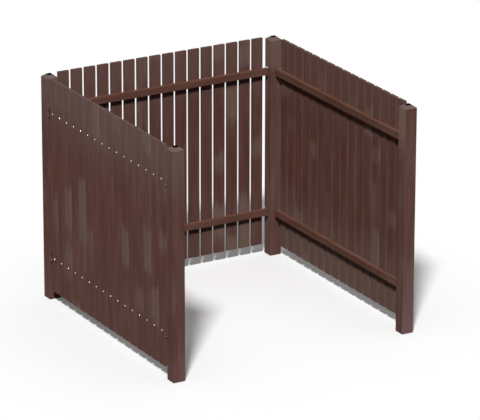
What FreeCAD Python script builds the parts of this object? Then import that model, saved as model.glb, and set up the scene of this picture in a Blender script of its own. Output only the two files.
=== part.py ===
"""Wheelie bin store: a three-sided palisade screen of recycled plastic profiles.

Four square posts with cut pyramid heads carry three panels, and the front stays open. Each
panel is a row of upright slats, screwed from outside to an upper and a lower rail. The rails
end in folded steel shoes on the side faces of the posts. The screws are self-drilling, so the
plastic has no holes of its own, and only their heads are modelled.

The origin is on the ground under the middle of the store. X runs along the open front, Y runs
from the open front to the back, and Z is up. All sizes are in millimetres.
"""

import FreeCAD
import Part
import math
import os
import Sketcher

doc = FreeCAD.newDocument("wheelie_bin_store")

# Driving dimensions

SIZES = {
    "store_width": 2000,       # over the posts, along the open front
    "store_depth": 2000,       # over the posts, from front to back
    "post_width": 94,          # square section of a post
    "post_height": 1750,       # ground to the flat on top of the head
    "post_round": 3,           # radius along the upright edges of a post
    "head_rise": 24,           # height of the sloped part of the head
    "head_flat": 30,           # side of the square left flat on top
    "slat_width": 88,
    "slat_thickness": 24,
    "slat_bevel": 1,           # width and depth of the bevels along a slat's edges
    "slat_count": 16,          # slats in a panel, evenly spaced
    "slat_setback": 4,         # outer face of the slats behind the outer face of the posts
    "slat_drop": 8,            # top of the slats below the top of the posts
    "ground_gap": 82,          # clear gap under the slats
    "rail_height": 54,
    "rail_thickness": 32,
    "rail_round": 3,           # radius along the long edges of a rail
    "rail_inset": 264,         # end of the slats to the middle of the nearer rail
    "rail_end_gap": 1,         # end of a rail to the inside bend of its shoe
    "shoe_sheet": 3,           # sheet thickness of a rail shoe
    "shoe_bend": 2,            # inside bend radius of a rail shoe
    "shoe_lip": 12,            # reach of the leg over the rail
    "shoe_shelf": 28,          # reach of the leg under the rail
    "shelf_gap": 9,            # clear gap between a shoe's shelf and the first slat
    "shoe_screw_pitch": 30,    # height between the two screws into the post
    "screw_head": 12,          # diameter of a screw's pan head
    "screw_head_top": 7,       # diameter of the flat on top of it
    "screw_head_rise": 3.5,    # height of it above the face that it seats on
}

sheet = doc.addObject("Spreadsheet::Sheet", "sizes")
for row, (alias, size) in enumerate(SIZES.items(), start=1):
    sheet.set(f"A{row}", alias)
    sheet.set(f"B{row}", str(size))
    sheet.setAlias(f"B{row}", alias)
doc.recompute()


def formula(text):
    """Returns an expression in which each name in angle brackets is a cell of the sheet."""
    return "(" + text.replace("<", "sizes.").replace(">", "") + ")"


def value_of(expression):
    return float(sheet.evalExpression(expression))


# Sizes and places that several pieces share, worked out from the driving dimensions

SLAT_LENGTH = formula("<post_height> - <slat_drop> - <ground_gap>")
SLAT_COUNT = SIZES["slat_count"]
END_GAP = formula("<shoe_shelf> + <shelf_gap>")
RAIL_LEVELS = {
    "lower": formula("<ground_gap> + <rail_inset>"),
    "upper": formula("<post_height> - <slat_drop> - <rail_inset>"),
}
PANEL_THICKNESS = formula("<slat_thickness> + <rail_thickness>")
RAIL_STAND_OFF = formula("<shoe_sheet> + <shoe_bend> + <rail_end_gap>")
SHOE_HALF_HEIGHT = formula("<rail_height> / 2 + <shoe_sheet>")

X_AXIS = FreeCAD.Vector(1, 0, 0)
Y_AXIS = FreeCAD.Vector(0, 1, 0)
Z_AXIS = FreeCAD.Vector(0, 0, 1)
QUARTER = math.pi / 2
HEAD_SIDES = 12                # flats that stand for the round of a screw's head
TOUCHING = 1e-6


class Panel:
    """One side of the store, in a frame of its own: along it, outward from it, and up.

    Seen from above, the panels run clockwise round the store, and so do their slats: from the
    front left post, along the back, to the front right post.
    """

    def __init__(self, name, angle, length, depth):
        self.name = name
        self.angle = angle
        self.opening = formula(f"{length} - 2 * <post_width>")
        self.outer = formula(f"{depth} / 2 - <slat_setback>")
        self.row = formula(f"{self.opening} - 2 * {END_GAP} - <slat_width>")

    def slat_place(self, index):
        """Returns the place along the panel of a slat's middle, counted from zero."""
        return formula(f"{self.row} * ({index} / (<slat_count> - 1) - 1 / 2)")

    def end(self, sign):
        """Returns the place along the panel of the post's face at its start or its end."""
        return formula(f"{sign} * {self.opening} / 2")

    def in_store(self, along, outward):
        """Returns the store's X and Y of a place in the panel."""
        if self.angle == 90:
            return f"-({outward})", along
        if self.angle == -90:
            return outward, f"-({along})"
        return along, outward


PANELS = [
    Panel("left", 90, "<store_depth>", "<store_width>"),
    Panel("back", 0, "<store_width>", "<store_depth>"),
    Panel("right", -90, "<store_depth>", "<store_width>"),
]
START = -1
END = 1


# Helpers for bodies and sketches

def new_body(label):
    body = doc.addObject("PartDesign::Body", label)
    body.Label = label
    return body


def origin_item(body, role):
    return next(item for item in body.Origin.OriginFeatures if item.Role == role)


def new_sketch(body, role, name):
    sketch = body.newObject("Sketcher::SketchObject", name)
    sketch.AttachmentSupport = [(origin_item(body, role), "")]
    sketch.MapMode = "FlatFace"
    return sketch


def dimension(sketch, kind, references, expression):
    """Adds a dimension whose value follows the expression."""
    index = sketch.addConstraint(Sketcher.Constraint(kind, *references, value_of(expression)))
    sketch.setExpression(f"Constraints[{index}]", expression)


def locate(sketch, geometry, point, place):
    """Dimensions a point of the geometry from the sketch's origin."""
    for kind, expression in zip(("DistanceX", "DistanceY"), place):
        if expression == "0":
            axis = -2 if kind == "DistanceX" else -1
            sketch.addConstraint(Sketcher.Constraint("PointOnObject", geometry, point, axis))
        else:
            dimension(sketch, kind, (-1, 1, geometry, point), expression)


def closed_sides(sketch, points):
    """Draws a closed outline of straight sides and returns them, each starting at its point."""
    sides = []
    for point, following in zip(points, points[1:] + points[:1]):
        sides.append(sketch.addGeometry(Part.LineSegment(point, following)))
    for side, following in zip(sides, sides[1:] + sides[:1]):
        sketch.addConstraint(Sketcher.Constraint("Coincident", side, 2, following, 1))
    return sides


def outline(sketch, corners):
    """Draws a closed outline through corners that are given as pairs of expressions."""
    points = [FreeCAD.Vector(value_of(x), value_of(y), 0) for x, y in corners]
    for side, corner in zip(closed_sides(sketch, points), corners):
        locate(sketch, side, 1, corner)


def regular_polygon(sketch, sides, diameter):
    """Draws a regular polygon round the sketch's origin, its corners on this diameter."""
    radius = value_of(diameter) / 2
    circle = sketch.addGeometry(Part.Circle(FreeCAD.Vector(), Z_AXIS, radius), True)
    sketch.addConstraint(Sketcher.Constraint("Coincident", circle, 3, -1, 1))
    dimension(sketch, "Diameter", (circle,), diameter)
    points = []
    for corner in range(sides):
        turn = 2 * math.pi * corner / sides
        points.append(FreeCAD.Vector(radius * math.cos(turn), radius * math.sin(turn), 0))
    drawn = closed_sides(sketch, points)
    for side in drawn:
        sketch.addConstraint(Sketcher.Constraint("PointOnObject", side, 1, circle))
    for side in drawn[1:]:
        sketch.addConstraint(Sketcher.Constraint("Equal", drawn[0], side))
    sketch.addConstraint(Sketcher.Constraint("PointOnObject", drawn[0], 1, -1))


def bevelled_rectangle(sketch, width, height, bevel):
    """Draws a rectangle round the sketch's origin with four equal bevelled corners."""
    right = f"{width} / 2"
    top = f"{height} / 2"
    right_bevel = f"({right} - {bevel})"
    top_bevel = f"({top} - {bevel})"
    outline(sketch, [
        (right, top_bevel), (right_bevel, top), (f"-{right_bevel}", top), (f"-{right}", top_bevel),
        (f"-{right}", f"-{top_bevel}"), (f"-{right_bevel}", f"-{top}"),
        (right_bevel, f"-{top}"), (right, f"-{top_bevel}"),
    ])


def rounded_rectangle(sketch, width, height, radius):
    """Draws a rectangle round the sketch's origin with four equal rounded corners."""
    r = value_of(radius)
    right = value_of(width) / 2 - r
    top = value_of(height) / 2 - r
    centres = [(right, top), (-right, top), (-right, -top), (right, -top)]
    arcs = []
    for turn, (x, y) in enumerate(centres):
        circle = Part.Circle(FreeCAD.Vector(x, y, 0), Z_AXIS, r)
        arc = Part.ArcOfCircle(circle, turn * QUARTER, (turn + 1) * QUARTER)
        arcs.append(sketch.addGeometry(arc))
    sides = []
    for arc, following in zip(arcs, arcs[1:] + arcs[:1]):
        run = Part.LineSegment(sketch.getPoint(arc, 2), sketch.getPoint(following, 1))
        side = sketch.addGeometry(run)
        sketch.addConstraint(Sketcher.Constraint("Tangent", arc, 2, side, 1))
        sketch.addConstraint(Sketcher.Constraint("Tangent", side, 2, following, 1))
        sides.append(side)
    above, left, below, right_side = sides
    for kind, side in (("Horizontal", above), ("Horizontal", below), ("Vertical", left),
                       ("Vertical", right_side)):
        sketch.addConstraint(Sketcher.Constraint(kind, side))
    for arc in arcs[1:]:
        sketch.addConstraint(Sketcher.Constraint("Equal", arcs[0], arc))
    sketch.addConstraint(Sketcher.Constraint("Symmetric", arcs[0], 3, arcs[2], 3, -1, 1))
    dimension(sketch, "DistanceX", (left, 1, right_side, 1), width)
    dimension(sketch, "DistanceY", (below, 1, above, 1), height)
    dimension(sketch, "Radius", (arcs[0],), radius)


def pad(body, sketch, length, side="One side"):
    feature = body.newObject("PartDesign::Pad", "Pad")
    feature.Profile = sketch
    feature.SideType = side
    feature.setExpression("Length", length)
    return feature


def place(item, position, rotation):
    item.Placement = FreeCAD.Placement(FreeCAD.Vector(), rotation)
    for axis, expression in zip("xyz", position):
        item.setExpression(f"Placement.Base.{axis}", expression)


# Posts: a square profile with rounded edges and a flat-topped pyramid head

def post(label, x_side, y_side):
    body = new_body(label)
    section = new_sketch(body, "XY_Plane", "Section")
    side = formula("<post_width>")
    rounded_rectangle(section, side, side, formula("<post_round>"))
    pad(body, section, formula("<post_height>"))

    slope = new_sketch(body, "XZ_Plane", "HeadSlope")
    outside = formula("<post_width> - <head_flat> / 2")
    outline(slope, [
        (formula("<head_flat> / 2"), formula("<post_height>")),
        (outside, formula("<post_height> - 2 * <head_rise>")),
        (outside, formula("<post_height>")),
    ])
    wedge = body.newObject("PartDesign::Pocket", "HeadWedge")
    wedge.Profile = slope
    wedge.SideType = "Symmetric"
    wedge.Type = "ThroughAll"
    head = body.newObject("PartDesign::PolarPattern", "Head")
    head.Originals = [wedge]
    head.Axis = (origin_item(body, "Z_Axis"), [""])
    head.Angle = 360
    head.Occurrences = 4
    body.Tip = head

    x = formula(f"{x_side} * (<store_width> - <post_width>) / 2")
    y = formula(f"{y_side} * (<store_depth> - <post_width>) / 2")
    place(body, (x, y, "0"), FreeCAD.Rotation())
    return body


# Slats: upright boards with bevelled long edges, on the outer faces of the rails

def slat(panel, index):
    body = new_body(f"{panel.name}_slat_{index + 1:02d}")
    section = new_sketch(body, "XY_Plane", "Section")
    bevelled_rectangle(section, formula("<slat_width>"), formula("<slat_thickness>"),
                       formula("<slat_bevel>"))
    pad(body, section, SLAT_LENGTH)
    middle = formula(f"{panel.outer} - <slat_thickness> / 2")
    x, y = panel.in_store(panel.slat_place(index), middle)
    place(body, (x, y, formula("<ground_gap>")), FreeCAD.Rotation(Z_AXIS, panel.angle))
    return body


# Rails: they lie against the inner faces of the slats and rest on the shelves of the shoes

def rail(panel, level):
    body = new_body(f"{panel.name}_{level}_rail")
    section = new_sketch(body, "YZ_Plane", "Section")
    rounded_rectangle(section, formula("<rail_thickness>"), formula("<rail_height>"),
                      formula("<rail_round>"))
    pad(body, section, formula(f"{panel.opening} - 2 * {RAIL_STAND_OFF}"), side="Symmetric")
    middle = formula(f"{panel.outer} - <slat_thickness> - <rail_thickness> / 2")
    x, y = panel.in_store("0", middle)
    place(body, (x, y, RAIL_LEVELS[level]), FreeCAD.Rotation(Z_AXIS, panel.angle))
    return body


# Rail shoes: folded steel with a web on the post, a lip over the rail and a shelf under it

def start_shoe():
    """Builds the shoe of a panel's start: the post's face at X = 0, the slats' face at Y = 0."""
    body = new_body("start_shoe")
    half = SHOE_HALF_HEIGHT
    inner = formula("<rail_height> / 2")
    shelf = formula("<shoe_shelf>")
    lip = formula("<shoe_lip>")
    web_face = formula("<shoe_sheet>")
    profile = new_sketch(body, "XZ_Plane", "Profile")
    outline(profile, [
        ("0", f"-{half}"), (shelf, f"-{half}"), (shelf, f"-{inner}"), (web_face, f"-{inner}"),
        (web_face, inner), (lip, inner), (lip, half), ("0", half),
    ])
    folded = pad(body, profile, PANEL_THICKNESS)
    doc.recompute()
    outer_bends = edges_along_y(folded, 0, value_of(half))
    folded = round_edges(body, folded, outer_bends, formula("<shoe_sheet> + <shoe_bend>"))
    doc.recompute()
    inner_bends = edges_along_y(folded, value_of(web_face), value_of(inner))
    round_edges(body, folded, inner_bends, formula("<shoe_bend>"))
    return body


def edges_along_y(feature, x, height):
    """Names the two edges along Y at this X, one this far above the middle and one below."""
    names = []
    for index, edge in enumerate(feature.Shape.Edges, start=1):
        first, last = edge.Vertexes[0].Point, edge.Vertexes[-1].Point
        along_y = (last - first).cross(Y_AXIS).Length < TOUCHING
        if along_y and abs(first.x - x) < TOUCHING and abs(abs(first.z) - height) < TOUCHING:
            names.append(f"Edge{index}")
    return names


def round_edges(body, feature, edges, radius):
    fillet = body.newObject("PartDesign::Fillet", "Bend")
    fillet.Base = (feature, edges)
    fillet.setExpression("Radius", radius)
    return fillet


def end_shoe(source):
    """Mirrors the start shoe into the one for a panel's end."""
    mirrored = doc.addObject("Part::Mirroring", "end_shoe")
    mirrored.Source = source
    mirrored.Base = FreeCAD.Vector()
    mirrored.Normal = X_AXIS
    return mirrored


# Screw heads: tapered pan heads, each with its seat at Z = 0 and its flat top upwards

def pan_head():
    body = new_body("pan_head")
    seat = new_sketch(body, "XY_Plane", "Seat")
    regular_polygon(seat, HEAD_SIDES, formula("<screw_head>"))
    raised = pad(body, seat, formula("<screw_head_rise>"))
    overhang = "(<screw_head> - <screw_head_top>) / 2"
    raised.setExpression("TaperAngle", formula(f"-atan({overhang} / <screw_head_rise>)"))
    return body


# Groups: the same piece fitted in many places

def fitted(source, panel, along, outward, height, rotation=FreeCAD.Rotation()):
    """Places a copy in a panel, turned first by the rotation and then with the panel."""
    link = doc.addObject("App::Link", "Fitted")
    link.LinkedObject = source
    x, y = panel.in_store(along, outward)
    place(link, (x, y, height), FreeCAD.Rotation(Z_AXIS, panel.angle) * rotation)
    return link


def group(label, copies):
    compound = doc.addObject("Part::Compound", label)
    compound.Label = label
    compound.Links = copies
    return compound


def rail_shoes():
    """Fits a shoe under each end of each rail."""
    at_start = start_shoe()
    sources = {START: at_start, END: end_shoe(at_start)}
    shoes = []
    for panel in PANELS:
        for level in RAIL_LEVELS.values():
            for end, source in sources.items():
                shoes.append(fitted(source, panel, panel.end(end), panel.outer, level))
    return group("rail_shoes", shoes)


def panel_screws():
    """Fits a head where each slat crosses a rail, and two in the web and one under each shoe."""
    head = pan_head()
    outward = FreeCAD.Rotation(X_AXIS, -90)
    down = FreeCAD.Rotation(X_AXIS, 180)
    from_end = formula("(<shoe_sheet> + <shoe_shelf>) / 2")
    heads = []
    for panel in PANELS:
        beside_rails = formula(f"{panel.outer} - <slat_thickness> / 2")
        under_rails = formula(f"{panel.outer} - <slat_thickness> - <rail_thickness> / 2")
        for level in RAIL_LEVELS.values():
            for index in range(SLAT_COUNT):
                along = panel.slat_place(index)
                heads.append(fitted(head, panel, along, panel.outer, level, outward))
            for end in (START, END):
                inward = FreeCAD.Rotation(Y_AXIS, -90 * end)
                along = formula(f"{panel.end(end)} - {end} * <shoe_sheet>")
                for sign in (-1, 1):
                    height = formula(f"{level} + {sign} * <shoe_screw_pitch> / 2")
                    heads.append(fitted(head, panel, along, beside_rails, height, inward))
                along = formula(f"{panel.end(end)} - {end} * {from_end}")
                height = formula(f"{level} - {SHOE_HALF_HEIGHT}")
                heads.append(fitted(head, panel, along, under_rails, height, down))
    return group("panel_screws", heads)


# The whole store

nodes = [
    post("front_left_post", -1, -1),
    post("back_left_post", -1, 1),
    post("back_right_post", 1, 1),
    post("front_right_post", 1, -1),
]
for panel in PANELS:
    nodes += [slat(panel, index) for index in range(SLAT_COUNT)]
    nodes += [rail(panel, level) for level in RAIL_LEVELS]
nodes += [rail_shoes(), panel_screws()]
doc.recompute()

for item in doc.Objects:
    for fault in ("Invalid", "Error"):
        if fault in item.State:
            raise RuntimeError(f"{item.Label} is marked {fault}")
for node in nodes:
    if node.Shape.isNull() or not node.Shape.isValid():
        raise RuntimeError(f"{node.Label} has no valid shape")

os.makedirs("parts", exist_ok=True)
for node in nodes:
    node.Shape.exportStep(f"parts/{node.Label}.step")
solids = sum(len(node.Shape.Solids) for node in nodes)
print(f"{len(nodes)} nodes, {solids} solids")
for panel in PANELS:
    pitch = value_of(formula(f"{panel.row} / (<slat_count> - 1)"))
    print(f"{panel.name} panel: slats {pitch:.2f} mm apart from middle to middle")
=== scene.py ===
# %% [markdown]
# # A wheelie bin store in recycled plastic
#
# The real object is a palisade fence on three sides of a square. Its posts, slats and rails are
# profiles of recycled plastic, and its fittings are steel. The CAD model already has every piece
# in its place, so this lesson gives the pieces their finish: it loads the model, sets up the
# camera and a plain studio, and then works through the plastic, the steel and the screws.

# %% Load the model
import math

import bmesh
import bpy
from mathutils import Matrix, Vector


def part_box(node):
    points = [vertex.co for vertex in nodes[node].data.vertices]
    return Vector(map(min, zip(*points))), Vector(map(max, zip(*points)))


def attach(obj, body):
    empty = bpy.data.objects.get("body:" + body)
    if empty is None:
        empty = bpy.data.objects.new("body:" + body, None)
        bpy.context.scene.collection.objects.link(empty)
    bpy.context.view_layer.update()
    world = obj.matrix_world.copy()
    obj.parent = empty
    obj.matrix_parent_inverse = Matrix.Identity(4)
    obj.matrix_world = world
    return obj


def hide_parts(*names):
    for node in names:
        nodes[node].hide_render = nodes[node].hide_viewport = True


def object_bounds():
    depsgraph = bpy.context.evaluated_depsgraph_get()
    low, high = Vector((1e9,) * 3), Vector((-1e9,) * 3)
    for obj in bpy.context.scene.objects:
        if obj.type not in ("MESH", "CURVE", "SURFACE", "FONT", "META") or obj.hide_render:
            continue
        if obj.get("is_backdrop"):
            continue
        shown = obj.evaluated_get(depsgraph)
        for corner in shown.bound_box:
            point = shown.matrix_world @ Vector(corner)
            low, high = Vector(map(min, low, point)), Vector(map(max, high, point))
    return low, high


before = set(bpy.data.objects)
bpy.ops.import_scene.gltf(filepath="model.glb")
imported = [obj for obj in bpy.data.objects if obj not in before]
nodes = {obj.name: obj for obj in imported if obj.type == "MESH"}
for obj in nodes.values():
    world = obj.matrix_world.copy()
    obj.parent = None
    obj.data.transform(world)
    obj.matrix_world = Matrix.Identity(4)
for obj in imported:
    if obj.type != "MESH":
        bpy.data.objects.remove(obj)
cad_low, cad_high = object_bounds()
print("pieces:", len(nodes), "size in metres:", [round(v, 3) for v in cad_high - cad_low])

# %% [markdown]
# ## Camera
#
# The picture was taken from about 28.5 metres through a long lens, so the three panels hardly
# narrow with distance. A camera can be placed by eye, but here its place comes from the object's
# own corners: with the real sizes known, only one place and one focal length put all of them
# where the picture has them. The numbers below are that place, written as three angles, a point
# on the line through the middle of the frame, and the distance back from that point, so that
# each can be changed alone.

# %% Directions of the view
AZIMUTH = math.radians(-29.937)
ELEVATION = math.radians(19.632)
ROLL = math.radians(0.122)

back = Vector((
    math.sin(AZIMUTH) * math.cos(ELEVATION),
    -math.cos(AZIMUTH) * math.cos(ELEVATION),
    math.sin(ELEVATION),
))
level = Vector((math.cos(AZIMUTH), math.sin(AZIMUTH), 0))
upright = back.cross(level)
right = math.cos(ROLL) * level + math.sin(ROLL) * upright
up = back.cross(right)
print("the camera looks along:", [round(-v, 3) for v in back])

# %% Camera
FRAME_WIDTH = 480
FOCAL_PIXELS = 3862.0
SENSOR_WIDTH = 36.0
DISTANCE = 34.177
TARGET = Vector((2.8443, 4.7413, -1.1563))

lens = bpy.data.cameras.new("long_lens")
lens.sensor_fit = "HORIZONTAL"
lens.sensor_width = SENSOR_WIDTH
lens.lens = FOCAL_PIXELS * SENSOR_WIDTH / FRAME_WIDTH
lens.clip_start = 1.0
lens.clip_end = 200.0
camera = bpy.data.objects.new("camera", lens)
camera.matrix_world = Matrix((right, up, back)).transposed().to_4x4()
camera.location = TARGET + back * DISTANCE
bpy.context.scene.collection.objects.link(camera)
bpy.context.scene.camera = camera
print("lens in mm:", round(lens.lens, 1), "camera at:", [round(v, 2) for v in camera.location])
print("metres to the middle of the bay:", round(camera.location.length, 1))

# %% [markdown]
# ## Colours and nodes
#
# A colour is easiest to pick from a picture as a hex code, which is in sRGB, but a shader counts
# in linear light. One function turns the first into the second. A second small function adds any
# node: it takes the kind, what goes into the inputs (a number, a colour or another node's output)
# and the settings, and returns the output that the next node needs.

# %% Hex code to linear colour
def linear(code):
    """The linear colour, with alpha, of an sRGB code such as #806050."""
    parts = [int(code[i:i + 2], 16) / 255 for i in (1, 3, 5)]
    return [p / 12.92 if p <= 0.04045 else ((p + 0.055) / 1.055) ** 2.4 for p in parts] + [1.0]


print("mid grey in linear light:", [round(v, 3) for v in linear("#808080")])


# %% Add any node
def add(tree, kind, inputs=None, **settings):
    """Adds a node, gives it its settings and inputs, and returns its first enabled output."""
    made = tree.nodes.new("ShaderNode" + kind)
    for name, value in settings.items():
        setattr(made, name, value)
    for name, value in (inputs or {}).items():
        socket = next(s for s in made.inputs if name in (s.identifier, s.name))
        if isinstance(value, bpy.types.NodeSocket):
            tree.links.new(value, socket)
        else:
            socket.default_value = value
    return next((s for s in made.outputs if s.enabled), None)


# %% An empty node tree
def empty_tree(data):
    """Clears the nodes of a new material or world, and returns its tree."""
    data.use_nodes = True
    data.node_tree.nodes.clear()
    return data.node_tree


# %% [markdown]
# ## Floor and dome
#
# The store stands in a white studio: a pale floor that ends out of sight, under an even dome of
# light. A strong white light all round would look white too, but it would fill every shadow. So
# floor and dome are white only to the camera and in reflections, by Light Path. To other rays the
# floor is grey and the dome is dim, because the real store is nearly black under its rails.
#
# The floor also glows a little, and less where the panels stand close over it. Ambient occlusion
# measures that, and darkens the strips of floor under the panels.

# %% Which rays see the studio white
def plainly_seen(tree):
    """1 for a ray from the camera, a reflection or a transmission, else 0."""
    rays = add(tree, "LightPath").node.outputs
    camera_or_glossy = add(tree, "Math", {
        "Value": rays["Is Camera Ray"], "Value_001": rays["Is Glossy Ray"],
    }, operation="MAXIMUM")
    return add(tree, "Math", {
        "Value": camera_or_glossy, "Value_001": rays["Is Transmission Ray"],
    }, operation="MAXIMUM")


# %% Paper for the floor
PAPER_WHITE = "#E7E7E7"
PAPER_GREY = "#686868"
GLOW_LEVEL = 0.22
OPEN_REACH = 1.3

paper = bpy.data.materials.new("matte_white_paper")
tree = empty_tree(paper)
unseen_paper = add(tree, "BsdfDiffuse", {"Color": linear(PAPER_GREY)})
lit_paper = add(tree, "BsdfDiffuse", {"Color": linear(PAPER_WHITE)})
openness = add(tree, "AmbientOcclusion", {"Distance": OPEN_REACH}).node.outputs["AO"]
glow_level = add(tree, "Math", {"Value": openness, "Value_001": GLOW_LEVEL}, operation="MULTIPLY")
glow = add(tree, "Emission", {"Color": linear("#FFFFFF"), "Strength": glow_level})
seen_paper = add(tree, "AddShader", {"Shader": lit_paper, "Shader_001": glow})
surface = add(tree, "MixShader", {
    "Fac": plainly_seen(tree), "Shader": unseen_paper, "Shader_001": seen_paper,
})
add(tree, "OutputMaterial", {"Surface": surface})
print("white of the paper in linear light:", round(linear(PAPER_WHITE)[0], 3))

# %% Floor
FLOOR_HALF = 60.0

corners = [(x * FLOOR_HALF, y * FLOOR_HALF, 0) for x, y in ((-1, -1), (1, -1), (1, 1), (-1, 1))]
floor_mesh = bpy.data.meshes.new("studio_floor")
floor_mesh.from_pydata(corners, [], [(0, 1, 2, 3)])
floor_mesh.materials.append(paper)
floor = bpy.data.objects.new("studio_floor", floor_mesh)
bpy.context.scene.collection.objects.link(floor)
floor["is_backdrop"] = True
print("floor edge in metres:", 2 * FLOOR_HALF)

# %% Dome
DOME_LEVEL = 0.10

dome = bpy.data.worlds.new("studio_dome")
tree = empty_tree(dome)
light = add(tree, "Background", {"Color": linear("#FFFFFF"), "Strength": DOME_LEVEL})
white = add(tree, "Background", {"Color": linear("#FFFFFF"), "Strength": 1.0})
surface = add(tree, "MixShader", {
    "Fac": plainly_seen(tree), "Shader": light, "Shader_001": white,
})
add(tree, "OutputWorld", {"Surface": surface})
bpy.context.scene.world = dome
bpy.context.scene.view_settings.view_transform = "Standard"
print("dome level:", DOME_LEVEL)

# %% [markdown]
# ## Lamps
#
# One lamp stands high on the left in front. It lights upward faces most, then those that look to
# the front and then those that look left. A soft one stands low behind on the right, so that the
# far sides aren't black. An area lamp could do both, but its distance and size would have to be
# tuned together. A sun lamp has only a level, a direction and a width. The front one is 7 degrees
# wide, so a shadow starts sharp and grows soft with distance.

# %% Two sun lamps
# Each lamp has its level, its width in degrees and the direction that it stands in.
LAMPS = {
    "front_lamp": (1.15, 7, (-0.386, -0.514, 0.766)),
    "back_lamp": (0.65, 40, (0.66, 0.70, 0.27)),
}

lamp_objects = {}
upward = DOME_LEVEL
for name, (lamp_level, width, place) in LAMPS.items():
    towards = Vector(place).normalized()
    lamp = bpy.data.lights.new(name, "SUN")
    lamp.energy = math.pi * lamp_level
    lamp.angle = math.radians(width)
    lamp_object = bpy.data.objects.new(name, lamp)
    lamp_object.rotation_mode = "QUATERNION"
    lamp_object.rotation_quaternion = towards.to_track_quat("Z", "Y")
    bpy.context.scene.collection.objects.link(lamp_object)
    lamp_objects[name] = lamp_object
    upward += lamp_level * towards.z
print("light on an upward face:", round(upward, 2))

# %% One shadow on the floor
# Light linking keeps the back lamp off the floor, where it would cast a second shadow.
off_the_floor = bpy.data.collections.new("off_the_floor")
off_the_floor.objects.link(floor)
off_the_floor.collection_objects[0].light_linking.link_state = "EXCLUDE"
lamp_objects["back_lamp"].light_linking.receiver_collection = off_the_floor
print("lamps that light the floor:", len(lamp_objects) - 1)

# %% [markdown]
# ## Recycled plastic
#
# The profiles are mixed polyethylene and polypropylene from waste, melted and pressed into long
# moulds. The melt never mixes fully, so each profile has long soft streaks, from dark to pale
# reddish brown. An image texture could show this, but noise does it at any distance: a noise
# pattern that is squeezed across the profile and stretched along it turns into streaks. Each
# piece shifts the pattern by its own random number, so that no streak runs on into the next slat.
#
# The finish is built up in layers, one step each: streaks, khaki clouds, sun and dust, sawn ends,
# and at last the skin.

# %% Real sizes of the pattern
# Widths across and lengths along the profile, in metres. Real flow lines are 2 to 3 mm wide and
# real pits 1 mm. They would vanish at this distance, so they are drawn as coarse as they need to
# show. A noise value lies mostly between the two ends of NOISE_SPAN.
STREAK = (0.055, 0.40)
FLOW_LINE = (0.012, 0.26)
PIT = 0.006
NOISE_SPAN = (0.3, 0.7)
ALONG_X, ALONG_Y, ALONG_Z = 0, 1, 2
print("streaks in mm, across and along:", [round(1000 * v) for v in STREAK])

# %% Each piece's own part of the pattern
LOT_SHIFT = (90, 43, 56)


def own_place(tree):
    """The position on the store, and the same position shifted by the piece's random number."""
    position = add(tree, "TexCoord").node.outputs["Object"]
    lot = add(tree, "ObjectInfo").node.outputs["Random"]
    shift = add(tree, "VectorMath", {
        "Vector": lot, "Vector_001": LOT_SHIFT,
    }, operation="MULTIPLY")
    shifted = add(tree, "VectorMath", {"Vector": position, "Vector_001": shift}, operation="ADD")
    return position, shifted


print("the pattern shifts by up to, in metres:", LOT_SHIFT)


# %% A pattern along the profile
def stretched(tree, place, size, grain):
    """The place in pattern widths across the profile and in pattern lengths along it."""
    across, along = size
    scale = [1 / across] * 3
    scale[grain] = 1 / along
    return add(tree, "VectorMath", {"Vector": place, "Vector_001": scale}, operation="MULTIPLY")


# %% Streaks in three tones
STREAK_STOPS = (0.32, 0.50, 0.68)


def streaked(tree, place, grain, tones):
    """Soft streaks along the axis grain, in three tones from dark to pale."""
    streak = add(tree, "TexNoise", {
        "Vector": stretched(tree, place, STREAK, grain),
        "Scale": 1.0, "Detail": 3.0, "Roughness": 0.55,
    })
    ramp = add(tree, "ValToRGB", {"Fac": streak})
    stops = ramp.node.color_ramp.elements
    stops.new(STREAK_STOPS[1])
    for stop, position, tone in zip(stops, STREAK_STOPS, tones):
        stop.position = position
        stop.color = linear(tone)
    return ramp


print("noise levels of the three tones:", STREAK_STOPS)

# %% [markdown]
# ## Khaki clouds
#
# Here and there a batch of other waste came through, and a length of a profile is khaki. Such
# patches could be placed by hand, but 48 slats would need a long list. Here a second noise makes
# them, wherever it rises past a level. Its pattern is wider than a slat of 88 mm, so that a patch
# reaches from edge to edge. The flow lines are added, which frays its ends. More patches come
# lower down, as on the real store.

# %% Clouds where a noise is high
# A cloud's edge lies where the noise goes from CLOUD_START to CLOUD_FULL. From EXTRA_START down
# to EXTRA_FULL, heights in metres, up to EXTRA is added to the noise.
SLAT_CLOUD = (1.10, 0.60)
POST_CLOUD = (0.16, 0.90)
KHAKI = "#7B695F"
FRAY = 0.12
CLOUD_START, CLOUD_FULL = 0.67, 0.74
EXTRA_START, EXTRA_FULL, EXTRA = 1.1, 0.5, 0.03


def clouded(tree, colour, place, height, flow, grain, cloud_size, share):
    """The colour with khaki clouds of a width and length, as strong as the share says."""
    cloud = add(tree, "TexNoise", {
        "Vector": stretched(tree, place, cloud_size, grain),
        "Scale": 1.0, "Detail": 1.0, "Roughness": 0.5,
    })
    extra = add(tree, "MapRange", {
        "Value": height, "From Min": EXTRA_START, "From Max": EXTRA_FULL,
        "To Min": 0.0, "To Max": EXTRA,
    })
    cloud = add(tree, "Math", {"Value": cloud, "Value_001": extra}, operation="ADD")
    cloud = add(tree, "Math", {
        "Value": flow, "Value_001": FRAY, "Value_002": cloud,
    }, operation="MULTIPLY_ADD")
    khaki = add(tree, "MapRange", {
        "Value": cloud, "From Min": CLOUD_START, "From Max": CLOUD_FULL,
        "To Min": 0.0, "To Max": share,
    }, interpolation_type="SMOOTHSTEP")
    return add(tree, "Mix", {
        "Factor_Float": khaki, "A_Color": colour, "B_Color": linear(KHAKI),
    }, data_type="RGBA")


print("pattern of the slats' patches in mm:", [round(1000 * v) for v in SLAT_CLOUD])

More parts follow.
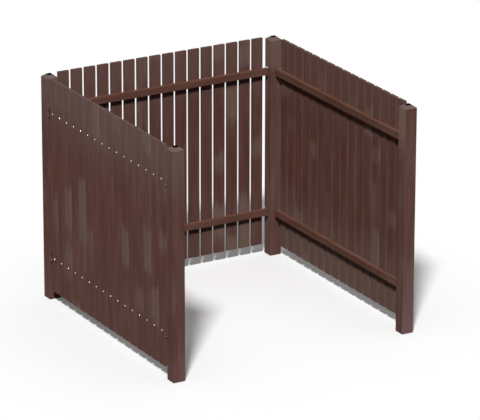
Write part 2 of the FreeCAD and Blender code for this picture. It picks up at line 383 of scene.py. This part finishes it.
# %% [markdown]
# ## Sun, dust and painted light
#
# Out of doors the tops fade in the sun, and rain splashes pale dust on the lower ends. A dirt map
# could be baked for each piece, but the cause here is the height above the ground, so each layer
# is one colour that comes in smoothly from one height to another. The dust lies only on the faces
# that look outside. A pale layer near the top of the right posts lies only on the faces that look
# into the bay, and it is painted light, for the light that falls on those faces.

# %% Faces that look into the bay or outside
# The dot product of a face's direction and its place is about -0.9 m on the inner faces of the
# posts and 1.0 m on their outer faces.
BAY_LIMIT = -0.5
SIDES = {"bay": "LESS_THAN", "outside": "GREATER_THAN"}


def on_side(tree, position, side):
    """1 on the faces that look to the side, else 0."""
    normal = add(tree, "NewGeometry").node.outputs["True Normal"]
    outward = add(tree, "VectorMath", {
        "Vector": normal, "Vector_001": position,
    }, operation="DOT_PRODUCT").node.outputs["Value"]
    return add(tree, "Math", {"Value": outward, "Value_001": BAY_LIMIT}, operation=SIDES[side])


print("a face looks into the bay where the product is below", BAY_LIMIT)


# %% Layers by height
def weathered_and_lit(tree, colour, position, height, layers):
    """The colour under layers of sun, dust and painted light.

    A layer is a colour, its share, the height where it starts, the height where it is full, and
    the side that has it: bay, outside or all.
    """
    for code, share, start, full, side in layers:
        cover = add(tree, "MapRange", {
            "Value": height, "From Min": start, "From Max": full, "To Min": 0.0, "To Max": share,
        }, interpolation_type="SMOOTHSTEP")
        if side in SIDES:
            cover = add(tree, "Math", {
                "Value": cover, "Value_001": on_side(tree, position, side),
            }, operation="MULTIPLY")
        colour = add(tree, "Mix", {
            "Factor_Float": cover, "A_Color": colour, "B_Color": linear(code),
        }, data_type="RGBA")
    return colour


# %% [markdown]
# ## Sawn ends
#
# The upright profiles are cut to length with a saw. A sawn face is rough and greyer than the
# moulded skin, and it mirrors nothing. It could have a material of its own, but a CAD piece has
# one material, and its mesh isn't changed. So the plastic finds these faces by itself: they lean
# upward and lie near the top. The flat on top of a post's head is higher still, and is black.

# %% Sawn faces
# SAWN_SLOPE is the least upward part of a sawn face's direction. The heights are in metres.
SAWN_SLOPE = 0.3
SAWN_HEIGHT = 1.70
CORE_HEIGHT = 1.7462
CORE_BLACK = "#020202"


def sawn(tree, colour, rough, height, sawn_code):
    """The colour and the roughness, with sawn faces in their own colour and the flats black."""
    normal = add(tree, "NewGeometry").node.outputs["True Normal"]
    looks_up = add(tree, "SeparateXYZ", {"Vector": normal}).node.outputs["Z"]
    sloped = add(tree, "Math", {
        "Value": looks_up, "Value_001": SAWN_SLOPE,
    }, operation="GREATER_THAN")
    near_top = add(tree, "Math", {
        "Value": height, "Value_001": SAWN_HEIGHT,
    }, operation="GREATER_THAN")
    face = add(tree, "Math", {"Value": sloped, "Value_001": near_top}, operation="MULTIPLY")
    core = add(tree, "Math", {
        "Value": height, "Value_001": CORE_HEIGHT,
    }, operation="GREATER_THAN")
    for share, code in ((face, sawn_code), (core, CORE_BLACK)):
        colour = add(tree, "Mix", {
            "Factor_Float": share, "A_Color": colour, "B_Color": linear(code),
        }, data_type="RGBA")
    return colour, add(tree, "Math", {"Value": rough, "Value_001": face}, operation="MAXIMUM")


print("sawn faces lie above, in metres:", SAWN_HEIGHT)

# %% [markdown]
# ## The skin
#
# The moulded skin has fine flow lines and small pits. Displacement would need a very fine mesh,
# and from this distance a bump shows the same. Polyethylene and polypropylene have an IOR of
# 1.50. A new profile has a faint gloss, with the specular level at its usual 0.5, but weather has
# roughened this skin so far that it hardly mirrors, so the level is 0.02.

# %% The material of a profile
PLASTIC_IOR = 1.50
DULL_GLOSS = 0.02
SKIN_ROUGHNESS = (0.55, 0.75)
FLOW_SHADE = (0.95, 1.05)
FLOW_TO_PITS = 1.5
RELIEF = 0.002


def recycled_plastic(name, grain, tones, cloud_size, khaki, layers, sawn_code):
    """Matte recycled plastic with streaks along the axis grain.

    tones are three browns from dark to pale. cloud_size and khaki are the size and the share of
    the khaki clouds, layers the sun and dust, and sawn_code the colour of sawn ends, if any.
    """
    made = bpy.data.materials.new(name)
    tree = empty_tree(made)
    position, place = own_place(tree)
    height = add(tree, "SeparateXYZ", {"Vector": position}).node.outputs["Z"]
    flow = add(tree, "TexNoise", {
        "Vector": stretched(tree, place, FLOW_LINE, grain),
        "Scale": 1.0, "Detail": 2.0, "Roughness": 0.6,
    })
    pits = add(tree, "TexNoise", {
        "Vector": place, "Scale": 1 / PIT, "Detail": 3.0, "Roughness": 0.6,
    })

    colour = streaked(tree, place, grain, tones)
    colour = clouded(tree, colour, place, height, flow, grain, cloud_size, khaki)
    shade = add(tree, "MapRange", {
        "Value": flow, "From Min": NOISE_SPAN[0], "From Max": NOISE_SPAN[1],
        "To Min": FLOW_SHADE[0], "To Max": FLOW_SHADE[1],
    })
    colour = add(tree, "VectorMath", {"Vector": colour, "Scale": shade}, operation="SCALE")
    colour = weathered_and_lit(tree, colour, position, height, layers)
    rough = add(tree, "MapRange", {
        "Value": pits, "From Min": NOISE_SPAN[0], "From Max": NOISE_SPAN[1],
        "To Min": SKIN_ROUGHNESS[0], "To Max": SKIN_ROUGHNESS[1],
    })
    if sawn_code:
        colour, rough = sawn(tree, colour, rough, height, sawn_code)

    relief = add(tree, "Math", {
        "Value": flow, "Value_001": FLOW_TO_PITS, "Value_002": pits,
    }, operation="MULTIPLY_ADD")
    bump = add(tree, "Bump", {"Height": relief, "Strength": 0.25, "Distance": RELIEF})
    skin = add(tree, "BsdfPrincipled", {
        "Base Color": colour, "Roughness": rough, "Normal": bump,
        "IOR": PLASTIC_IOR, "Specular IOR Level": DULL_GLOSS,
    })
    add(tree, "OutputMaterial", {"Surface": skin})
    return made


print("roughness of the skin:", SKIN_ROUGHNESS, "IOR:", PLASTIC_IOR)

# %% [markdown]
# ## Slats, posts and rails
#
# All profiles come from one melt, but each lot is a little different. The slats of the left side
# have faded to grey at the top, those of the back and the right side to a redder tone. The left
# slats are the palest, and that is painted light: their tones are raised to stand in for light on
# the faces that look left, and the left posts' tones are raised the same way. The right slats are
# splashed with dust at the foot. The posts have dust there too, on the faces that look outside,
# and the right posts are paler. Near the top, the right posts' faces that look into the bay have
# a pale khaki layer, which is painted light where more light falls on them. The rails lie
# sheltered behind the slats and are the reddest.
# A material could be copied and recoloured by hand for each lot. One function makes all of them
# instead, so only the colours and the layers differ.

# %% Tones from dark to pale
# The left slats' and left posts' tones are raised as painted light, for the light on faces that
# look left.
LEFT_SLAT_LIT_TONES = ("#60403A", "#664740", "#6F4F4B")
BACK_SLAT_TONES = ("#593B35", "#5F413A", "#674944")
RIGHT_SLAT_TONES = ("#5C3D37", "#62433C", "#6A4B46")
LEFT_POST_LIT_TONES = ("#5E3F39", "#64453F", "#6D4F4A")
PALE_POST_TONES = ("#60433D", "#664944", "#6D524C")
RAIL_TONES = ("#5F4035", "#66463B", "#6E4E44")
SAWN_SLAT = "#5E4C45"
SAWN_POST = "#6E5A57"
SLAT_KHAKI, POST_KHAKI, RAIL_KHAKI = 0.60, 0.30, 0.25
print("a dark streak in linear light:", [round(v, 3) for v in linear(BACK_SLAT_TONES[0])])

# %% Layers of sun and dust
# Colour, share, the heights where it starts and where it is full, and the side that has it.
GREY_SUN = ("#80706C", 0.42, 1.15, 1.75, "all")
RED_SUN = ("#755C57", 0.42, 1.15, 1.75, "all")
POST_SUN = ("#786660", 0.55, 1.15, 1.75, "all")
# These two layers, on the bay faces of the right posts, are painted light: paler near the top,
# where more light falls on those faces.
BACK_PAINTED_LIGHT = ("#7C695F", 0.48, 1.47, 1.55, "bay")
FRONT_PAINTED_LIGHT = ("#877062", 0.80, 1.25, 1.60, "bay")
SOME_DUST = ("#846568", 0.25, 0.42, 0.04, "outside")
DUST = ("#846568", 0.62, 0.50, 0.04, "outside")
FEW_SPLASHES = ("#77665F", 0.10, 0.80, 0.20, "all")
SPLASHES = ("#7B6A63", 0.42, 0.70, 0.20, "all")
print("the slats fade above, in metres:", GREY_SUN[2])

# %% Materials of the slats
slat_lots = {
    "left": ("recycled_plastic_slat", LEFT_SLAT_LIT_TONES, (GREY_SUN, FEW_SPLASHES)),
    "back": ("recycled_plastic_red_slat", BACK_SLAT_TONES, (RED_SUN, FEW_SPLASHES)),
    "right": ("recycled_plastic_splashed_slat", RIGHT_SLAT_TONES, (RED_SUN, SPLASHES)),
}
slat_plastic = {
    side: recycled_plastic(name, ALONG_Z, tones, SLAT_CLOUD, SLAT_KHAKI, layers, SAWN_SLAT)
    for side, (name, tones, layers) in slat_lots.items()
}
print("slat materials:", [m.name for m in slat_plastic.values()])

# %% Materials of the posts
post_lots = {
    "left": ("recycled_plastic_post", LEFT_POST_LIT_TONES, (POST_SUN, SOME_DUST)),
    "back_right": ("recycled_plastic_lit_top_post", PALE_POST_TONES, (BACK_PAINTED_LIGHT, DUST)),
    "front_right": ("recycled_plastic_pale_post", PALE_POST_TONES, (FRONT_PAINTED_LIGHT, DUST)),
}
post_plastic = {
    lot: recycled_plastic(name, ALONG_Z, tones, POST_CLOUD, POST_KHAKI, layers, SAWN_POST)
    for lot, (name, tones, layers) in post_lots.items()
}
print("post materials:", [m.name for m in post_plastic.values()])

# %% Materials of the rails
rail_grains = {
    "side": ("recycled_plastic_rail_side", ALONG_Y),
    "back": ("recycled_plastic_rail_back", ALONG_X),
}
rail_plastic = {
    lot: recycled_plastic(name, grain, RAIL_TONES, POST_CLOUD, RAIL_KHAKI, (), None)
    for lot, (name, grain) in rail_grains.items()
}
print("rail materials:", [m.name for m in rail_plastic.values()])

# %% Give each profile its material
plastic_pieces = 0
for name, piece in nodes.items():
    if "_slat_" in name:
        finish = slat_plastic[name.split("_")[0]]
    elif name.endswith("_post"):
        lot = name.removesuffix("_post")
        finish = post_plastic["left" if lot.endswith("left") else lot]
    elif name.endswith("_rail"):
        finish = rail_plastic["back" if name.startswith("back") else "side"]
    else:
        continue
    plastic_pieces += 1
    for slot in piece.material_slots:
        slot.material = finish
print("plastic pieces:", plastic_pieces)

# %% [markdown]
# ## Dark cores in the heads
#
# A thick profile cools slowly, and its middle stays porous and full of soot. Where a head is cut
# flat, that core shows as a black square. Colour alone can't make it black, because a face that
# looks up mirrors the white studio at this low angle. So each head gets a thin skin of its own,
# with no gloss at all. Its pores are 3 mm wide, as the largest real ones are.

# %% Porous core
PORE = 0.003
PORE_RELIEF = 0.001
SOOT_DARK, SOOT_PALE = "#010101", "#14100E"

porous_core = bpy.data.materials.new("porous_core")
tree = empty_tree(porous_core)
place = add(tree, "TexCoord").node.outputs["Object"]
pores = add(tree, "TexNoise", {"Vector": place, "Scale": 1 / PORE, "Detail": 2.0})
soot = add(tree, "Mix", {
    "Factor_Float": pores, "A_Color": linear(SOOT_DARK), "B_Color": linear(SOOT_PALE),
}, data_type="RGBA")
bump = add(tree, "Bump", {"Height": pores, "Strength": 0.5, "Distance": PORE_RELIEF})
skin = add(tree, "BsdfPrincipled", {
    "Base Color": soot, "Roughness": 1.0, "Normal": bump, "Specular IOR Level": 0.0,
})
add(tree, "OutputMaterial", {"Surface": skin})
print("pores in mm:", 1000 * PORE)

# %% A skin on each flat
CORE_SIDE = 0.030
CORE_SKIN = 0.0004

posts = [name for name in nodes if name.endswith("_post")]
cores = bmesh.new()
for name in posts:
    low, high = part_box(name)
    middle = Vector(((low[0] + high[0]) / 2, (low[1] + high[1]) / 2, high[2]))
    size = Matrix.Diagonal((CORE_SIDE, CORE_SIDE, CORE_SKIN, 1.0))
    bmesh.ops.create_cube(cores, size=1.0, matrix=Matrix.Translation(middle) @ size)
cores_mesh = bpy.data.meshes.new("post_cores")
cores.to_mesh(cores_mesh)
cores.free()
cores_mesh.materials.append(porous_core)
post_cores = bpy.data.objects.new("post_cores", cores_mesh)
bpy.context.scene.collection.objects.link(post_cores)
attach(post_cores, "root")
print("cores:", len(posts), "side in mm:", 1000 * CORE_SIDE)

# %% [markdown]
# ## Steel
#
# The rail shoes are folded from stainless sheet, dulled by weather, and their colour is darkened
# further as painted shade, for the shoes seen in the shaded end gaps. The slats' screws are
# bright stainless. The shoes' screws are dark brown steel as painted shade: they sit in those
# gaps, and the dark colour stands in for the shade that they mirror there.
# A metal needs its own colour as base colour, the metallic value at 1 and the default IOR.
# Rolling leaves fine lines in the sheet, 0.1 mm apart on the real one. An anisotropic shader
# could stand for them, but a stretched noise in roughness and bump shows the lines themselves.
# They are drawn 1 mm apart here, which is as fine as a picture of the shoe shows.
#
# Rain that dries on the upper lips of the right shoes leaves a pale film of lime, and the film is
# also a painted highlight: its patches are placed so that the upper lip on the back right post
# shows as a bright glint. The film is no metal: where it lies, the metallic value goes to 0, the
# roughness to 1 and the colour to nearly white.

# %% Where the lime film and its painted highlight lie
# Sizes in metres. The shift picks the part of the noise that the film's patches come from, and
# places the painted highlight on the back right lip. A face counts as level as the upward part of
# its direction goes from LEVEL_START to LEVEL_FULL.
LIME_HIGHLIGHT = "#F4F0EA"
HIGHLIGHT_FILM_PATCH = 0.5
HIGHLIGHT_FILM_SHIFT = (0.37, 0.11, 0.73)
HIGHLIGHT_FILM_START, HIGHLIGHT_FILM_FULL = 0.47, 0.53
LEVEL_START, LEVEL_FULL = 0.3, 0.6
HIGHLIGHT_FILM_HEIGHT = 1.49


def lime_highlight_share(tree, place):
    """The share of lime film, which is also a painted highlight: patches that look up, above the
    upper rails on the right.
    """
    moved = add(tree, "VectorMath", {"Vector": place, "Vector_001": HIGHLIGHT_FILM_SHIFT}, operation="ADD")
    patches = add(tree, "TexNoise", {"Vector": moved, "Scale": 1 / HIGHLIGHT_FILM_PATCH, "Detail": 1.0})
    highlight_patch = add(tree, "MapRange", {
        "Value": patches, "From Min": HIGHLIGHT_FILM_START, "From Max": HIGHLIGHT_FILM_FULL,
    })
    normal = add(tree, "NewGeometry").node.outputs["True Normal"]
    looks_up = add(tree, "SeparateXYZ", {"Vector": normal}).node.outputs["Z"]
    level_face = add(tree, "MapRange", {
        "Value": looks_up, "From Min": LEVEL_START, "From Max": LEVEL_FULL,
    })
    axes = add(tree, "SeparateXYZ", {"Vector": place}).node.outputs
    above = add(tree, "Math", {
        "Value": axes["Z"], "Value_001": HIGHLIGHT_FILM_HEIGHT,
    }, operation="GREATER_THAN")
    on_the_right = add(tree, "Math", {
        "Value": axes["X"], "Value_001": 0.0,
    }, operation="GREATER_THAN")
    highlight_film = highlight_patch
    for share in (level_face, above, on_the_right):
        highlight_film = add(tree, "Math", {"Value": highlight_film, "Value_001": share}, operation="MULTIPLY")
    return highlight_film


print("film lies above, in metres:", HIGHLIGHT_FILM_HEIGHT)


# %% The material of a steel piece
STEEL_LINE = 0.001
LINE_LENGTH = 30 * STEEL_LINE
LINE_RELIEF = 0.0005
ROUGH_SPREAD = 0.08


def steel(name, code, roughness, highlight_filmed=False):
    """Steel with rolling or turning lines, and where it is filmed a near-white film of lime that
    is also a painted highlight.
    """
    made = bpy.data.materials.new(name)
    tree = empty_tree(made)
    place = add(tree, "TexCoord").node.outputs["Object"]
    lines = add(tree, "TexNoise", {
        "Vector": stretched(tree, place, (STEEL_LINE, LINE_LENGTH), ALONG_Z),
        "Scale": 1.0, "Detail": 2.0,
    })
    rough = add(tree, "MapRange", {
        "Value": lines, "From Min": NOISE_SPAN[0], "From Max": NOISE_SPAN[1],
        "To Min": roughness - ROUGH_SPREAD, "To Max": roughness + ROUGH_SPREAD,
    })
    bump = add(tree, "Bump", {"Height": lines, "Strength": 0.1, "Distance": LINE_RELIEF})
    base = linear(code)
    metallic = 1.0
    # The film is near-white and no metal: a painted highlight on the upper lips.
    if highlight_filmed:
        highlight_film = lime_highlight_share(tree, place)
        base = add(tree, "Mix", {
            "Factor_Float": highlight_film, "A_Color": base, "B_Color": linear(LIME_HIGHLIGHT),
        }, data_type="RGBA")
        rough = add(tree, "Math", {"Value": rough, "Value_001": highlight_film}, operation="MAXIMUM")
        metallic = add(tree, "Math", {"Value": 1.0, "Value_001": highlight_film}, operation="SUBTRACT")
    metal = add(tree, "BsdfPrincipled", {
        "Base Color": base, "Metallic": metallic, "Roughness": rough, "Normal": bump,
    })
    add(tree, "OutputMaterial", {"Surface": metal})
    return made


print("lines in the steel in mm:", 1000 * STEEL_LINE)

# %% Three steels
# The sheet's dark colour is partly painted shade, and its lime film is a painted highlight on the
# lips.
sheet_steel = steel("stainless_sheet", "#989088", roughness=0.45, highlight_filmed=True)
bright_screw_steel = steel("stainless_screw", "#D8D2CC", roughness=0.30)
# The shoes' screws are dark brown as painted shade, for the shaded gaps they sit in.
shaded_screw_steel = steel("painted_shade_steel_screw", "#5A4A42", roughness=0.45)
for slot in nodes["rail_shoes"].material_slots:
    slot.material = sheet_steel
print("steels:", sheet_steel.name, bright_screw_steel.name, shaded_screw_steel.name)

# %% [markdown]
# ## Screws
#
# 132 pan head screws hold the panels. The CAD model has each head as a plain disc. The real one
# is a low dome with a rounded rim and a six-lobed recess. A bevelled cylinder with a boolean cut
# would give this too, but with thin slivers round the recess. Here one head is rings of points,
# from the rim up over the dome and down into the recess. It is repeated on every disc of the CAD
# model, which gives the place and the direction.

# %% Rings of one head
# Sizes in metres. LOBE_DEPTH is a share of the recess's radius.
HEAD_STEPS = 24
HEAD_RADIUS = 0.0060
HEAD_RISE = 0.0035
RECESS_RADIUS = 0.0024
RECESS_DEPTH = 0.0018
RECESS_EDGE = 0.0002
LOBES = 6
LOBE_DEPTH = 0.16
# Each ring of the dome is a share of the radius and a share of the rise.
DOME_RINGS = ((1.0, 0.0), (1.0, 0.16), (0.965, 0.36), (0.88, 0.58), (0.72, 0.80), (0.52, 0.94))
# Each ring of the recess is a share of its radius and a depth.
RECESS_RINGS = ((1.0, 0.0), (0.96, RECESS_EDGE), (0.94, RECESS_DEPTH))


def head_rings():
    """Rings of points, as (radius, height, depth of the lobes), from the foot to the recess."""
    dome = [(share * HEAD_RADIUS, rise * HEAD_RISE, 0.0) for share, rise in DOME_RINGS]
    recess = [
        (share * RECESS_RADIUS, HEAD_RISE - depth, LOBE_DEPTH) for share, depth in RECESS_RINGS
    ]
    return dome + recess


print("rings of a head:", len(head_rings()))


# %% Separate discs
SAME_POINT = 1e-6


def islands(mesh_data):
    """The corners of each separate body in a mesh, as a list of lists of places."""
    bodies = bmesh.new()
    bodies.from_mesh(mesh_data)
    bmesh.ops.remove_doubles(bodies, verts=bodies.verts, dist=SAME_POINT)
    seen = set()
    found = []
    for start in bodies.verts:
        if start in seen:
            continue
        island = {start}
        newest = {start}
        while newest:
            near = {e.other_vert(v) for v in newest for e in v.link_edges}
            newest = near - island
            island |= near
        seen |= island
        found.append([v.co.copy() for v in island])
    bodies.free()
    return found


discs = islands(nodes["panel_screws"].data)
print("discs:", len(discs))


# %% Places of the heads
SAME_FACE = 1e-5


def disc_place(points):
    """The middle of a disc's foot, which is its wider face, and the direction away from it."""
    low = Vector(min(p[i] for p in points) for i in range(3))
    high = Vector(max(p[i] for p in points) for i in range(3))
    axis = min(range(3), key=lambda i: (high - low)[i])
    middle = (low + high) / 2
    wide_low, wide_high = (
        max((p - middle).length for p in points if abs(p[axis] - end[axis]) < SAME_FACE)
        for end in (low, high)
    )
    outward = Vector((0, 0, 0))
    outward[axis] = 1.0 if wide_low > wide_high else -1.0
    foot = middle.copy()
    foot[axis] = low[axis] if wide_low > wide_high else high[axis]
    return foot, outward


places = [disc_place(points) for points in discs]
print("screw heads:", len(places))


# %% One head
def add_head(mesh, foot, outward, material_index):
    """Adds a head to the mesh, with its foot at a place and its axis outward."""
    turn = outward.to_track_quat("Z", "Y").to_matrix().to_4x4()
    to_place = Matrix.Translation(foot) @ turn
    rows = []
    for radius, height, lobes in head_rings():
        row = []
        for step in range(HEAD_STEPS):
            angle = 2 * math.pi * step / HEAD_STEPS
            r = radius * (1 + lobes * math.cos(LOBES * angle))
            point = Vector((r * math.cos(angle), r * math.sin(angle), height))
            row.append(mesh.verts.new(to_place @ point))
        rows.append(row)
    for lower, upper in zip(rows, rows[1:]):
        for step in range(HEAD_STEPS):
            after = (step + 1) % HEAD_STEPS
            face = mesh.faces.new((lower[step], lower[after], upper[after], upper[step]))
            face.smooth = True
            face.material_index = material_index
    mesh.faces.new(rows[-1]).material_index = material_index


print("points of a head:", len(head_rings()) * HEAD_STEPS)

# %% All heads in one mesh
# The slats' outer faces lie 996 mm from the middle. A screw further in holds a shoe.
SLAT_FACE = 0.995

heads = bmesh.new()
shoe_screws = 0
for foot, outward in places:
    on_shoe = max(abs(foot.x), abs(foot.y)) < SLAT_FACE
    shoe_screws += on_shoe
    # Screws on the shoes take the second material, dark brown steel that is painted shade.
    add_head(heads, foot, outward, int(on_shoe))
heads_mesh = bpy.data.meshes.new("screw_heads")
heads.to_mesh(heads_mesh)
heads.free()
heads_mesh.materials.append(bright_screw_steel)
heads_mesh.materials.append(shaded_screw_steel)
screw_heads = bpy.data.objects.new("screw_heads", heads_mesh)
bpy.context.scene.collection.objects.link(screw_heads)
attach(screw_heads, "root")
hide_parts("panel_screws")
print("faces of the screw heads:", len(heads_mesh.polygons), "shoe screws:", shoe_screws)

# %% [markdown]
#
# The dressed model is meant to stay as large as the CAD model. The last line prints how far, in
# mm, its box reaches past the CAD model's box.

# %% Compare the boxes
low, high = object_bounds()
grown = [round(1000 * max(a, b), 2) for a, b in zip(cad_low - low, high - cad_high)]
print("grown by, in mm:", grown)
